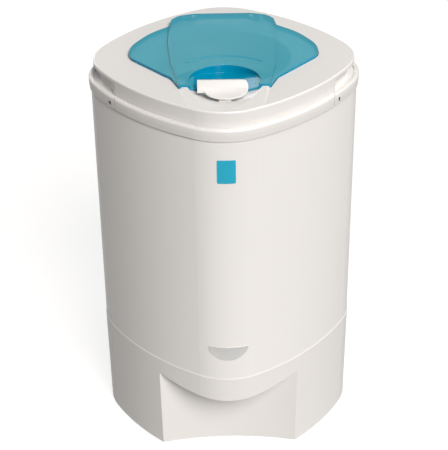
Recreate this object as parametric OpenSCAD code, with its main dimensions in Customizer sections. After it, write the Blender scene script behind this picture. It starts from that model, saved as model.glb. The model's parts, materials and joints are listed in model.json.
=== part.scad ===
// Portable laundry spin dryer, standing with one corner to the front (-Y).
// Millimetres, +Z up, origin on the floor under the middle of the drum.

/* [Case] */
// Width across two opposite sides of the case
case_w = 370; // [360:2:410]
// Radius of the upright corners
corner_r = 95; // [91:1:103]
// Height of the moulded base, feet included
base_h = 179; // [174:1:230]
// Height of the sheet-metal body between base and top cover
body_h = 421.6; // [405:1:520]
// Thickness of the sheet-metal body
sheet_t = 1.2; // [0.8:0.1:2]
// Wall of the plastic mouldings
wall = 3; // [2.4:0.1:3.6]
// Height that the rubber feet lift the base
foot_h = 2; // [1.5:0.1:4]

/* [Top cover] */
// Height of the collar, from the body seam to its crest
collar_h = 18.6; // [17:0.2:26]
// How far the collar stands out from the body
collar_out = 3; // [2.6:0.1:4.5]
// Height of the deck above the crest
tier_h = 24.8; // [22:0.2:28]
// Rounding of the deck's edge
deck_edge_r = 2.5; // [2:0.1:4]
// Distance of the hand grips' ends from the middle of the case
grip_x = 163.5; // [158:0.5:170]
// Depth of the hand grip behind the skirt
grip_depth = 9; // [7:0.5:16]

/* [Lid] */
// Height of the lid's wings above the deck
lid_rise = 4; // [3:0.1:5]
// Height of the raised middle band above the wings
band_rise = 3; // [2:0.1:4]
// Thickness of the lid's skin
lid_t = 3; // [2.5:0.1:3.5]
// Gap all round the lid
lid_gap = 1; // [0.6:0.1:1.4]
// Depth of the finger pocket below the band
pocket_depth = 14; // [10:0.5:15]
// Radius of the finger pocket in plan
pocket_r = 53; // [50:1:64]
// Radius of the hinge pins
hinge_pin_r = 1.6; // [1.2:0.1:1.8]

/* [Latch] */
// Height of the latch handle's back edge above the deck
latch_rise = 15.5; // [13:0.5:18]
// Radius of the latch handle's round tongue
tongue_r = 33; // [30:0.5:36]
// Radius of the latch pin
latch_pin_r = 1.5; // [1.2:0.1:1.8]
// Width of the latch arm under the handle
latch_arm_w = 18; // [12:1:20]

/* [Drum and tub] */
// Outer radius of the drum
drum_r = 122; // [114:0.5:125]
// Thickness of the drum sheet
drum_t = 1.2; // [0.8:0.1:1.6]
// Rows of drain holes in the drum
hole_rows = 6; // [3:1:8]
// Drain holes in one row
hole_count = 16; // [12:2:20]
// Radius of a drain hole
hole_r = 2.5; // [1.5:0.1:3]
// Room between drum and tub, in which the drum sways
drum_sway = 16; // [13:0.5:19]
// Bore of the drain pipe
drain_bore = 14; // [10:0.5:15]
// Wall of the drain pipe
drain_wall = 2; // [1.5:0.1:2.5]

/* [Motor and brake] */
// Radius of the drum shaft
shaft_r = 7; // [6:0.5:8]
// Radius of the motor case
motor_r = 57.5; // [54:0.5:60]
// Height of the motor case between its end bells
motor_h = 80; // [64:1:86]
// Thickness of the plate that carries the motor
plate_t = 4; // [3:0.5:5]
// Radius at which the three rubber mounts stand
mount_pitch_r = 108; // [100:1:112]
// Height of a rubber mount
mount_h = 40; // [30:1:46]
// Radius of the brake drum
brake_r = 42; // [38:0.5:44]
// Gap between the brake pad and the brake drum at rest
brake_gap = 2.6; // [2.4:0.1:4]

/* [Scoop under the spout] */
// Half width of the scoop at the front corner
scoop_half_w = 112; // [90:1:114]
// Distance of the scoop's back wall from the drum axis
scoop_y = 135; // [133:0.5:142]
// Height of the lip over the middle of the scoop
lip_h = 134; // [126:1:140]
// Rise of the lip from its middle to its ends
lip_sag = 15; // [8:0.5:17]

/* [Hidden] */
$fn = 96;

eps = 0.05;                  // running clearance of pins and shafts
gap = 0.3;                   // clearance between parts that move past each other
big_fn = 256;                // facets of the large arcs

// Plan outline: four bulged sides joined by four tangent corners. The arcs meet on lines
// whose slope is 7 in 24, so that their centres and meeting points are round numbers.
corner_c = 0.875*(case_w/2 - corner_r);  // centre of a corner on both axes of the plan
side_c = -corner_c*17/7;                 // centre of a side arc on its own axis
side_r = case_w/2 - side_c;              // radius of the bulged sides
tub_r = drum_r + drum_sway;              // outer radius of the tub
throat_r = drum_r - 18;                  // radius of the loading throat
joint = [side_c, 0] + 1.6*[corner_c - side_c, corner_c];  // far end of a meeting line
corner_y = corner_c*sqrt(2) + corner_r;  // reach of a corner from the axis

// Heights
body_z = base_h;
cover_z = body_z + body_h;
crest_z = cover_z + collar_h;
deck_z = crest_z + tier_h;
seat_z = deck_z - wall;              // floor that the lid's rim rests over
wing_z = deck_z + lid_rise;
band_z = wing_z + band_rise;
block_z = deck_z - 16;               // underside of the thick front of the cover
lip_overhang_z = deck_z - 6;         // underside of the lip over the hand grips

// Front of the lid and latch
lid_front_y = -120;
latch_back_y = lid_front_y - 1.5;
pivot_y = latch_back_y - 31;
pivot_z = deck_z - 7.5;
tongue_y = latch_back_y - 4;
arm_back_y = pivot_y - 3;
arm_t = 5;
arm_z = pivot_z - 30.5;
pocket_z = pivot_z - 4;

// Lid hinge
hinge_y = 144;
knuckle_r = 2.8;
hinge_z = wing_z - 2;
lid_back_y = 158;
lid_open = 100;                      // angle to which the lid opens
trough_r = norm([lid_back_y - hinge_y, hinge_z - seat_z - gap]) + 0.8;

// Register lips that locate the body sheet
lip_in = sheet_t + 0.4;
lip_t = 2.5;
lip_reach = 11;

// Base
web_z = 30;
web_t = 4;
base_deck_t = 3;
base_deck_z = base_h - 4 - base_deck_t;      // underside of the base's upper deck
deck_hole_r = tub_r - 12;

// Tub
tub_z = base_deck_z + base_deck_t;
tub_top = block_z - 8;
tub_floor_z = tub_z + 61;
tub_flange_w = 14;
tub_hole_r = 49;
gasket_h = 3.5;

// Motor stack, from the plate down and up
plate_z = tub_z - 17;                        // underside of the motor plate
bell_h = 12;
case_top = plate_z - bell_h;
case_bottom = case_top - motor_h;
bell_bottom = case_bottom - bell_h;
bearing_h = 10;
bearing_r = 16;
bolt_pitch_r = motor_r + 4.5;
rotor_r = 34;
pillar_top = plate_z - mount_h;

// Drum stack
drum_z = tub_floor_z + 26;                   // underside of the drum's floor
drum_top = tub_top - 60;                     // room for the rim and the throat's lower end
drum_h = drum_top - drum_z;
boss_r = 16;
nut_h = 10;
shaft_bottom = bell_bottom - 4;
shaft_top = drum_z + drum_t + nut_h + 3;
brake_z = plate_z + plate_t + 14;
brake_h = 14;

// Brake lever
lever_pivot = [60, -58];
lever_end = [20, -58];
lever_z = brake_z + 3;
lever_t = 6;

// Drain
drain_y = -112;
drain_r = drain_bore/2 + drain_wall;
spout_tip_r = drain_r - 0.6;                 // end of the spout, on which a hose can be pushed
spout_shoulder_y = -scoop_y - 3;
spout_z = 108;
spout_bend_r = 16;
hose_wall = 2.4;
hose_bottom = spout_z + spout_bend_r + 14;
spout_end_y = -scoop_y - 15;

// Scoop circle and lip circle from their chords and sags
scoop_sag = 13.5;
scoop_r = (pow(scoop_half_w, 2) + pow(scoop_sag, 2))/(2*scoop_sag);
lip_r = (pow(scoop_half_w, 2) + pow(lip_sag, 2))/(2*lip_sag);

mount_angles = [90, 210, 330];
foot_places = [[-128, -112], [128, -112], [-120, 120], [120, 120]];

// ---------------------------------------------------------------- helpers

// The parts of the plan that belong to one side and to one corner
module side_wedge() polygon([[side_c, 0], [joint[0], -joint[1]], joint]);
module corner_wedge() polygon([[corner_c, corner_c], joint, [joint[0], joint[0]], [joint[1], joint[0]]]);

// Sweeps a profile, drawn as [offset outwards, height], once round the plan outline
module sweep() rotate(45) for (i = [0:3]) rotate(90*i) {
    intersection() {
        translate([side_c, 0]) rotate_extrude(angle = 40, start = -20, $fn = big_fn)
            translate([side_r, 0]) children();
        linear_extrude(2*deck_z) side_wedge();
    }
    intersection() {
        translate([corner_c, corner_c]) rotate_extrude(angle = 70, start = 10, $fn = big_fn)
            translate([corner_r, 0]) children();
        linear_extrude(2*deck_z) corner_wedge();
    }
}

// The plan outline, moved outwards by d
module plan(d = 0) rotate(45) {
    square(2*corner_c, center = true);
    for (i = [0:3]) rotate(90*i) {
        intersection() {
            translate([side_c, 0]) circle(side_r + d, $fn = big_fn);
            polygon([[corner_c, -corner_c], [joint[0], -joint[1]], joint, [corner_c, corner_c]]);
        }
        intersection() {
            translate([corner_c, corner_c]) circle(corner_r + d, $fn = big_fn);
            corner_wedge();
        }
    }
}

function unit(v) = v/norm(v);
function outward(a, b) = let (u = unit(b - a)) [u[1], -u[0]];
function at(p, i) = p[(i + len(p)) % len(p)];

// Points of an arc about c, from angle a0 to a1
function arc(c, r, a0, a1, n = 6) = [for (k = [0:n]) let (a = a0 + (a1 - a0)*k/n) c + r*[cos(a), sin(a)]];

// A counter-clockwise outline with every edge moved outwards by g
function grown(p, g) = [for (i = [0:len(p) - 1])
    let (a = outward(at(p, i - 1), p[i]), b = outward(p[i], at(p, i + 1))) p[i] + g*(a + b)/(1 + a*b)];

// The same outline with corner i rounded to radius r[i]
function rounded(p, r, n = 10) = [for (i = [0:len(p) - 1])
    let (u = unit(at(p, i - 1) - p[i]), v = unit(at(p, i + 1) - p[i]), half = acos(u*v)/2,
        c = p[i] + unit(u + v)*r[i]/sin(half), s = p[i] + u*r[i]/tan(half) - c,
        e = p[i] + v*r[i]/tan(half) - c, a = atan2(s[1], s[0]),
        turn = ((atan2(e[1], e[0]) - a + 540) % 360) - 180)
    for (k = [0:n]) c + r[i]*[cos(a + turn*k/n), sin(a + turn*k/n)]];

function mirrored(p) = concat(p, [for (i = [len(p) - 1:-1:0]) [-p[i][0], p[i][1]]]);
function doubled(r) = concat(r, [for (i = [len(r) - 1:-1:0]) r[i]]);

module tube(r_out, r_in, h) difference() {
    cylinder(h = h, r = r_out);
    translate([0, 0, -1]) cylinder(h = h + 2, r = r_in);
}

// Extrudes an outline of [y, z] points from x0 to x1
module along_x(x0, x1) translate([x0, 0, 0]) rotate([90, 0, 90]) linear_extrude(x1 - x0) children();

// A cylinder along X
module x_rod(x0, x1, y, z, r) translate([x0, y, z]) rotate([0, 90, 0]) cylinder(h = x1 - x0, r = r);

// A screw with a pan head, its head's underside at the origin and its shank down -Z
module pan_screw(r, length, head_r, head_h) {
    translate([0, 0, -length]) cylinder(h = length, r = r);
    cylinder(h = head_h, r1 = head_r, r2 = head_r*0.8);
}

// A bent tube of 8 sides along a list of points
module bent_tube(path, r) {
    n = len(path);
    sides = 8;
    tangents = [for (i = [0:n - 1]) unit(path[min(i + 1, n - 1)] - path[max(i - 1, 0)])];
    rings = [for (i = [0:n - 1])
        let (t = tangents[i], side = unit(cross(t, [0.9, 0.1, 0.42])), up = cross(side, t))
        [for (k = [0:sides - 1]) path[i] + r*(side*cos(360*k/sides) + up*sin(360*k/sides))]];
    points = [for (ring = rings) for (p = ring) p];
    polyhedron(points, concat(
        [for (i = [0:n - 2]) for (k = [0:sides - 1]) let (a = i*sides, b = a + sides, j = (k + 1) % sides)
            each [[a + k, a + j, b + j], [a + k, b + j, b + k]]],
        [[for (k = [sides - 1:-1:0]) k], [for (k = [0:sides - 1]) (n - 1)*sides + k]]));
}

// ---------------------------------------------------------------- base

// Space cut out of the base's front corner, so that a bowl can stand under the spout
module scoop_space() difference() {
    translate([0, -scoop_y - scoop_r, -1]) linear_extrude(lip_h + lip_sag + 20) intersection() {
        circle(scoop_r, $fn = big_fn);
        translate([0, scoop_r]) square([4*scoop_half_w, 2*corner_y], center = true);
    }
    translate([0, 0, lip_h + lip_r]) rotate([90, 0, 0])
        cylinder(h = 4*corner_y, r = lip_r, center = true, $fn = big_fn);
}

module scoop_walls() difference() {
    intersection() {
        translate([0, 0, foot_h]) linear_extrude(lip_h + lip_sag + 24) plan(-wall/2);
        translate([0, -scoop_y - scoop_r, 0]) cylinder(h = base_h + 20, r = scoop_r + wall, $fn = big_fn);
    }
    translate([0, 0, lip_h + lip_r]) rotate([90, 0, 0])
        cylinder(h = 4*corner_y, r = lip_r - wall, center = true, $fn = big_fn);
}

module base_deck(z, t, hole_r) translate([0, 0, z]) linear_extrude(t) difference() {
    plan(-wall/2 - 0.5);
    circle(hole_r, $fn = big_fn);
}

module base_skirt() color("whitesmoke") {
    difference() {
        union() {
            sweep() polygon([[-0.7, foot_h], [0.8, base_h - 2.5], [-0.2, base_h], [-lip_in, base_h],
                [-lip_in, base_h + lip_reach], [-lip_in - lip_t, base_h + lip_reach],
                [-lip_in - lip_t, base_h - 4], [0.8 - wall, base_h - 8], [-0.7 - wall, foot_h + wall],
                [-28, foot_h + wall], [-28, foot_h]]);
            scoop_walls();
            base_deck(base_deck_z, base_deck_t, deck_hole_r);
            base_deck(web_z, web_t, rotor_r + 16);
            for (a = mount_angles) rotate(a) translate([mount_pitch_r, 0, web_z])
                cylinder(h = pillar_top - web_z, r = 15);
        }
        scoop_space();
        for (a = mount_angles) rotate(a) translate([mount_pitch_r, 0, web_z - 1])
            cylinder(h = pillar_top, r = 4.1);
        for (p = foot_places) translate([p[0], p[1], 0]) cylinder(h = foot_h + wall + 1, r = 5);
        translate([0, 0, spout_z]) rotate([90, 0, 0]) cylinder(h = scoop_y + 10, r = drain_r + 0.1);
        gland_place() cylinder(h = 60, r = 8.1, center = true);
        for (a = [45, 135]) rotate(a) tub_screw_places() cylinder(h = 30, r = 1.9, center = true);
        body_screw_places(base_h + lip_reach/2) cylinder(h = 60, r = 1.9, center = true);
    }
}

module tub_screw_places() for (s = [-1, 1])
    translate([s*(tub_r + tub_flange_w/2), 0, tub_z]) children();

// Two places on the rear sides at height z, with +Z pointing out of the case
module body_screw_places(z) for (a = [45, 135]) rotate(a)
    translate([case_w/2, 0, z]) rotate([0, 90, 0]) children();

module rubber_feet() color("dimgray") for (p = foot_places) translate([p[0], p[1], 0]) {
    cylinder(h = foot_h, r1 = 11, r2 = 12);
    cylinder(h = foot_h + wall, r = 4.9);
    translate([0, 0, foot_h + wall]) cylinder(h = 3, r1 = 6.5, r2 = 4.5);
}

// The cord's way in on the right rear side, with +Z pointing out of the case
gland_z = 60;
module gland_place() rotate(45) translate([case_w/2, 0, gland_z]) rotate([0, 90, 0]) children();

module cord_gland() color("dimgray") gland_place() difference() {
    union() {
        cylinder(h = 14, r1 = 11, r2 = 7);
        translate([0, 0, -12]) cylinder(h = 13, r = 8);
        translate([0, 0, -8]) cylinder(h = 4, r = 11);
    }
    translate([0, 0, -13]) cylinder(h = 30, r = 3.6);
}

// ---------------------------------------------------------------- body

module body_shell() color("white") difference() {
    sweep() translate([-sheet_t, body_z]) square([sheet_t, body_h]);
    body_screw_places(base_h + lip_reach/2) cylinder(h = 20, r = 1.9, center = true);
    body_screw_places(cover_z - lip_reach/2) cylinder(h = 20, r = 1.9, center = true);
}

module body_screws() color("silver") for (z = [base_h + lip_reach/2, cover_z - lip_reach/2])
    body_screw_places(z) pan_screw(1.8, 9, 3.6, 2);

// A thin plate that hugs the front corner between heights z0 and z0 + h
module corner_plate(z0, h, half_w, t) intersection() {
    translate([0, -corner_c*sqrt(2), z0]) rotate_extrude(angle = 60, start = 240, $fn = big_fn)
        translate([corner_r + 0.1, 0]) square([t, h]);
    translate([0, 0, z0]) rotate([90, 0, 0]) linear_extrude(2*corner_y)
        polygon(concat([[half_w, h], [-half_w, h]],
            arc([0, h + 4], norm([half_w, h*0.35]), 203, 337, 12)));
}

module badge_plate() color("silver") corner_plate(base_h + 35.5, 26.5, 31, 0.9);

label_h = 38;
module round_label() color("dodgerblue") translate([0, -corner_c*sqrt(2), cover_z - 30.6 - label_h])
    rotate_extrude(angle = 16.6, start = 261.7, $fn = big_fn)
        translate([corner_r + 0.1, 0]) square([0.3, label_h]);

// ---------------------------------------------------------------- top cover

// The collar's outer side and crest, from the register lip upwards
function collar_outer() = concat([[-lip_in, cover_z - lip_reach], [-lip_in, cover_z],
    [collar_out - 0.8, cover_z], [collar_out, cover_z + collar_h/2]],
    arc([collar_out - 4, crest_z - 4], 4, 0, 90), [[collar_out - 6.5, crest_z]]);

// The collar's inner side, from the ledge down to the register lip
function collar_inner() = [[collar_out - wall, crest_z - 6], [collar_out - wall, cover_z + collar_h/2],
    [collar_out - 5, cover_z + 3.4], [-lip_in - lip_t, cover_z + 3.4],
    [-lip_in - lip_t, cover_z - lip_reach]];

skirt_foot = -5.5;           // offset of the skirt where it meets the ledge
skirt_top = -5.2;            // and where its rounded edge starts
ledge_z = crest_z - 3.2;

module cover_ring() sweep() polygon(concat(collar_outer(), [[skirt_foot, ledge_z]],
    arc([skirt_top - deck_edge_r, deck_z - deck_edge_r], deck_edge_r, 0, 90),
    [[-14, deck_z], [-14, deck_z - wall], [skirt_top - deck_edge_r, deck_z - wall],
    [skirt_foot - wall, ledge_z - wall + 0.2]], collar_inner()));

// Outline of the lid, and of the raised band along its middle
lid_half = [[67, lid_front_y], [79, -88], [147, -8], [145, 30], [118, 80], [87, 109], [83, 131], [71, 147],
    [36, lid_back_y]];
lid_radii = [2, 25, 42, 80, 120, 5, 6, 20, 90];
band_half = [[67, lid_front_y], [78.5, -50], [86, 30], [86, 95], [83, 131], [71, 147], [36, lid_back_y]];
band_radii = [2, 200, 250, 150, 6, 20, 90];

module lid_outline(g = 0) polygon(rounded(grown(mirrored(lid_half), g), doubled(lid_radii)));
module band_outline(g = 0) polygon(rounded(grown(mirrored(band_half), g), doubled(band_radii)));

// Dished scoop in front of the lid: a long round bottom that climbs to the front
scoop_bottom_z = deck_z - 8;
dish_r = 148;
pocket_y = -103;
module latch_dish() translate([0, lid_front_y - 1, scoop_bottom_z]) rotate([-6.7, 0, 0])
    translate([0, 0, dish_r]) rotate([90, 0, 0]) cylinder(h = 120, r = dish_r, $fn = big_fn);

// Finger pocket of the lid, grown by g on every side
module pocket_space(g = 0) intersection() {
    translate([0, pocket_y, band_z - pocket_depth - g]) cylinder(h = 60, r = pocket_r + g, $fn = big_fn);
    translate([0, 60, band_z - pocket_depth + dish_r]) rotate([90, 0, 0])
        cylinder(h = 300, r = dish_r + g, $fn = big_fn);
}

// Raised tab between the lid and the front corner, level with the lid's band at its back
tab_y = 1.5 - corner_y - skirt_top + deck_edge_r;
tab_back_x = lid_half[0][0];
tab_front_x = 53;

// Everything on the inner side of the tab's sloped edge, for the right (0) or left (1) edge
module inside_tab_edge(side) mirror([side, 0, 0]) translate([tab_back_x, lid_front_y, deck_z - 0.3])
    rotate(-atan((tab_back_x - tab_front_x)/(lid_front_y - tab_y))) rotate([0, -50, 0])
        translate([-400, -200, -200]) cube(400);

module front_tab() intersection() {
    linear_extrude(2*deck_z) polygon([[tab_back_x, lid_front_y], [-tab_back_x, lid_front_y],
        [-tab_front_x, tab_y], [tab_front_x, tab_y]]);
    linear_extrude(2*deck_z) plan(skirt_top - deck_edge_r);
    along_x(-90, 90) polygon([[lid_front_y, block_z], [lid_front_y, deck_z + band_rise],
        [tab_y, deck_z - 0.2], [tab_y, block_z]]);
    inside_tab_edge(0);
    inside_tab_edge(1);
}

// Space round the latch's tongue, grown by g
module tongue_outline(g = 0) intersection() {
    translate([1, tongue_y]) circle(tongue_r + g);
    translate([1, tongue_y - 6 - 2*tongue_r]) square(4*tongue_r, center = true);
}

// Slots for the latch's arm and for its spring, hidden under the handle
module latch_slots() {
    translate([-latch_arm_w/2 - 0.6, pivot_y - 3.4, block_z - 1]) cube([latch_arm_w + 1.2, 27, 60]);
    translate([latch_arm_w/2 + 4.5, pivot_y - 3.4, pocket_z]) cube([6.5, 6.8, 40]);
}

// Bracket that hangs under the cover and carries the microswitch and the cable
module switch_bracket() {
    translate([-14, arm_back_y - 25, arm_z - 22]) cube([28, 3, block_z - arm_z + 23]);
    difference() {
        translate([-7, arm_back_y - 23, arm_z - 20]) cube([14, 36, 4]);
        translate([0, pivot_y + 4, arm_z - 30]) cylinder(h = 20, r = 2.6);
    }
}

module hinge_lugs() for (s = [-1, 1]) for (x = [47, 63]) translate([s*x, 0, 0]) {
    x_rod(-2.5, 2.5, hinge_y, hinge_z, knuckle_r);
    translate([-2.5, hinge_y - knuckle_r, hinge_z - trough_r - 1]) cube([5, knuckle_r, trough_r + 1]);
}

// Everything beyond the ends of the hand grip on one side, from z0 to z1
module beyond_grip_end(side, x, z0, z1) translate([side*(x + 50) - 50, -150, z0]) cube([100, 300, z1 - z0]);

module grip_notch() for (s = [-1, 1]) difference() {
    beyond_grip_end(s, grip_x, cover_z - lip_reach - 1, lip_overhang_z);
    translate([0, 0, cover_z - lip_reach - 2]) linear_extrude(100) plan(-grip_depth - 12);
}

module top_cover() color("whitesmoke") difference() {
    union() {
        difference() {
            union() {
                cover_ring();
                translate([0, 0, deck_z - wall]) linear_extrude(wall) plan(-11);
                translate([0, 0, block_z + 9]) cylinder(h = 16 - 9 - wall, r = tub_r + 18, $fn = big_fn);
                translate([0, 0, tub_top + gasket_h])
                    tube(tub_r + 2, tub_r - 6, deck_z - wall - tub_top - gasket_h);
                translate([0, 0, deck_z - 66]) tube(throat_r + wall, throat_r, 66 - wall);
                translate([0, 0, block_z]) linear_extrude(deck_z - block_z - 1) intersection() {
                    plan(-6.5);
                    translate([0, -150]) square([150, 108], center = true);
                }
                translate([-92, hinge_y - 18, hinge_z - trough_r - 2])
                    cube([184, 36, seat_z - hinge_z + trough_r + 2]);
                front_tab();
            }
            translate([0, 0, -1]) cylinder(h = 2*deck_z, r = throat_r, $fn = big_fn);
            translate([0, 0, seat_z]) linear_extrude(60) lid_outline(lid_gap);
            pocket_space(lid_t + lid_gap);
            latch_dish();
            intersection() {
                x_rod(-90, 90, hinge_y, hinge_z, trough_r);
                translate([0, 0, deck_z - 40]) linear_extrude(60) lid_outline(3.2);
            }
            grip_notch();
            body_screw_places(cover_z - lip_reach/2) cylinder(h = 60, r = 1.9, center = true);
        }
        hinge_lugs();
        switch_bracket();
    }
    latch_slots();
    x_rod(-21, 21, pivot_y, pivot_z, latch_pin_r + eps);
    for (s = [-1, 1]) x_rod(s*55 - 14, s*55 + 14, hinge_y, hinge_z, hinge_pin_r + eps);
    switch_screw_places() cylinder(h = 60, r = 1.3, center = true);
}

// White insert that lines the hand grip at one corner, drawn for the left corner
module grip_insert() difference() {
    union() {
        intersection() {
            sweep() polygon(concat(collar_outer(), [[skirt_foot, ledge_z],
                [skirt_foot - grip_depth, ledge_z], [skirt_foot - grip_depth, deck_z - wall],
                [skirt_foot - grip_depth - 2.5, deck_z - wall],
                [skirt_foot - grip_depth - 2.5, ledge_z - wall + 0.2]], collar_inner()));
            beyond_grip_end(-1, grip_x + gap, 0, 2*deck_z);
        }
        intersection() {
            translate([-grip_x - gap - 2.5, -150, ledge_z - 1]) cube([2.5, 300, 50]);
            translate([0, 0, ledge_z - 1]) linear_extrude(lip_overhang_z - ledge_z) difference() {
                plan(skirt_foot - 0.6);
                plan(skirt_foot - grip_depth - 1);
            }
        }
    }
    for (s = [-1, 1]) translate([-grip_x - 8.4, s*84, cover_z + 5.8]) cube([2.8, 22, 9], center = true);
}

module grip_insert_left() color("whitesmoke") grip_insert();
module grip_insert_right() color("whitesmoke") mirror([1, 0, 0]) grip_insert();

// ---------------------------------------------------------------- lid

// Room in the lid for the cover's lugs, and for the way their stems sweep as it opens
module hinge_lug_room() for (s = [-1, 1]) for (x = [47, 63]) translate([s*x, 0, 0]) {
    x_rod(-3, 3, hinge_y, hinge_z, knuckle_r + 0.4);
    along_x(-3, 3) translate([hinge_y, hinge_z]) polygon([[-knuckle_r - 0.4, 0], [-knuckle_r - 0.4, -20],
        [20, -20], [20, 20*tan(lid_open - 90) + 0.5], [0, 0.5]]);
}

module lid() color("deepskyblue", 0.6) difference() {
    union() {
        difference() {
            translate([0, 0, seat_z + gap]) linear_extrude(wing_z - seat_z - gap) lid_outline();
            translate([0, 0, seat_z - 1]) linear_extrude(wing_z - lid_t - seat_z + 1) lid_outline(-2.5);
        }
        intersection() {
            translate([0, 0, wing_z - 0.1]) linear_extrude(band_rise + 0.1) band_outline();
            along_x(-100, 100) polygon([[lid_front_y - 1, seat_z], [lid_back_y, seat_z], [lid_back_y, wing_z],
                [lid_back_y - band_rise, band_z], [lid_front_y - 1, band_z]]);
        }
        intersection() {
            translate([0, 0, seat_z - 20]) linear_extrude(wing_z - seat_z + 20) lid_outline(-0.1);
            pocket_space(lid_t);
        }
        for (s = [-1, 1]) x_rod(s*55 - 5, s*55 + 5, hinge_y, hinge_z, knuckle_r);
    }
    pocket_space();
    translate([0, pocket_y, band_z - 1.2]) cylinder(h = 2.4, r1 = pocket_r, r2 = pocket_r + 62, $fn = big_fn);
    hinge_lug_room();
    for (s = [-1, 1]) x_rod(s*55 - 6, s*55 + 6, hinge_y, hinge_z, hinge_pin_r + eps);
    translate([0, 0, seat_z - 30]) linear_extrude(60) translate([-100, lid_front_y - 100]) square([200, 100]);
}

module lid_hinge_pins() color("silver") for (s = [-1, 1])
    x_rod(s*55 - 10.8, s*55 + 10.8, hinge_y, hinge_z, hinge_pin_r);

// ---------------------------------------------------------------- latch

module latch_outline() {
    translate([-40, latch_back_y - 20.5]) square([60, 20.5]);
    translate([20, latch_back_y - 14]) circle(14);
    translate([19, latch_back_y - 20.5]) square([15, 7]);
    tongue_outline();
}

module latch_handle() color("whitesmoke") difference() {
    union() {
        intersection() {
            linear_extrude(2*deck_z) latch_outline();
            along_x(-60, 60) polygon([[latch_back_y + 1, deck_z + latch_rise - 0.8],
                [latch_back_y - 4, deck_z + latch_rise], [latch_back_y - 18.5, deck_z + latch_rise - 6.5],
                [latch_back_y - 42, deck_z - 1], [latch_back_y - 42, deck_z - 2.2],
                [latch_back_y - 34, deck_z - 0.2], [latch_back_y - 20.5, deck_z + latch_rise - 12.7],
                [latch_back_y - 5.5, deck_z + latch_rise - 7.5],
                [latch_back_y + 1, deck_z + latch_rise - 6]]);
        }
        x_rod(-latch_arm_w/2, latch_arm_w/2, pivot_y, pivot_z, 3);
        along_x(-latch_arm_w/2, latch_arm_w/2) polygon([[pivot_y - 2.5, pivot_z],
            [pivot_y - 2.5, deck_z - 2.6], [latch_back_y - 20, deck_z + latch_rise - 10],
            [latch_back_y - 20, deck_z], [pivot_y + 3, pivot_z - 1], [pivot_y + 3, pivot_z - 3],
            [arm_back_y + arm_t, pivot_z - 6], [arm_back_y + arm_t, arm_z], [arm_back_y, arm_z],
            [arm_back_y, pivot_z]]);
    }
    x_rod(-20, 20, pivot_y, pivot_z, latch_pin_r + eps);
}

module latch_pin() color("silver")
    x_rod(-latch_arm_w/2 - 5, latch_arm_w/2 + 11, pivot_y, pivot_z, latch_pin_r);

module latch_spring() color("silver") translate([latch_arm_w/2 + 5.3, pivot_y, pivot_z]) rotate([0, 90, 0])
    tube(latch_pin_r + 1.3, latch_pin_r + 0.2, 5);

// ---------------------------------------------------------------- microswitch

switch_y = arm_back_y - 3;   // front face of the switch, from which its plunger stands out
module microswitch() color("black") difference() {
    translate([-10, switch_y - 19, arm_z]) cube([20, 19, 16]);
    translate([0, switch_y + 1, arm_z + 8]) rotate([90, 0, 0]) cylinder(h = 6, r = 1.6);
    switch_screw_places() cylinder(h = 60, r = 1.3, center = true);
}

module switch_plunger() color("tomato") translate([0, arm_back_y - gap, arm_z + 8]) rotate([90, 0, 0])
    cylinder(h = 3 - gap + 3, r = 1.5);

// The switch screws' heads, with +Z pointing to the front of the switch
module switch_screw_places() for (x = [-6.5, 6.5])
    translate([x, switch_y, arm_z + 3]) rotate([-90, 0, 0]) children();

module switch_screws() color("silver") switch_screw_places() pan_screw(1.2, 22, 2.2, 1.2);

// ---------------------------------------------------------------- tub and drain

module tub() color("lightgray") difference() {
    rotate_extrude($fn = big_fn) polygon([[tub_r - wall, tub_z], [tub_r + tub_flange_w, tub_z],
        [tub_r + tub_flange_w, tub_z + 4], [tub_r, tub_z + 4], [tub_r, tub_top], [tub_r - wall, tub_top],
        [tub_r - wall, tub_floor_z + wall], [95, tub_floor_z + wall],
        [tub_hole_r + 3, tub_floor_z + 9 + wall], [tub_hole_r + 3, tub_floor_z + 14],
        [tub_hole_r, tub_floor_z + 14], [tub_hole_r, tub_floor_z + 9],
        [95, tub_floor_z], [tub_r - wall, tub_floor_z]]);
    translate([0, drain_y, tub_floor_z - 1]) cylinder(h = wall + 2, r = drain_bore/2);
    for (x = [-24, 24]) translate([x, -tub_r + 30, tub_z + 21]) rotate([90, 0, 0]) cylinder(h = 60, r = 6);
    for (a = [45, 135]) rotate(a) tub_screw_places() cylinder(h = 30, r = 1.9, center = true);
}

module drain_nipple() translate([0, drain_y, tub_floor_z - 16]) tube(drain_r, drain_bore/2, 16);

module tub_with_nipple() {
    tub();
    color("lightgray") drain_nipple();
}

module tub_gasket() color("dimgray") translate([0, 0, tub_top]) tube(tub_r + 1, tub_r - 4, gasket_h);

module tub_screws() color("silver") for (a = [45, 135]) rotate(a) tub_screw_places()
    translate([0, 0, 4]) pan_screw(1.8, 14, 3.6, 2.2);

// Rubber bellows between the tub's floor and the turning hub, pulled over the tub's lip
cuff_r = tub_hole_r + 3.3;
module bellows_seal() color("dimgray") translate([0, 0, tub_floor_z]) rotate_extrude() polygon([
    [boss_r + gap, 2], [boss_r + 3, 1], [26, 12], [33, 5], [40, 14.2], [cuff_r, 14.2], [cuff_r, 12.4],
    [cuff_r + 2, 12.4], [cuff_r + 2, 16.4], [39, 16.4], [33, 8], [26, 15], [boss_r + 3, 6],
    [boss_r + gap, 7]]);

module seal_clamp() color("silver") translate([0, 0, tub_floor_z + 12.5]) tube(cuff_r + 3, cuff_r + 2, 3);

module drain_hose() color("dimgray") translate([0, drain_y, hose_bottom]) tube(drain_r + hose_wall,
    drain_r + 0.1, tub_floor_z - hose_bottom - 1);

module hose_clips() color("silver") for (z = [hose_bottom + 4, tub_floor_z - 12])
    translate([0, drain_y, z]) tube(drain_r + hose_wall + 0.9, drain_r + hose_wall, 6);

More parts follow.
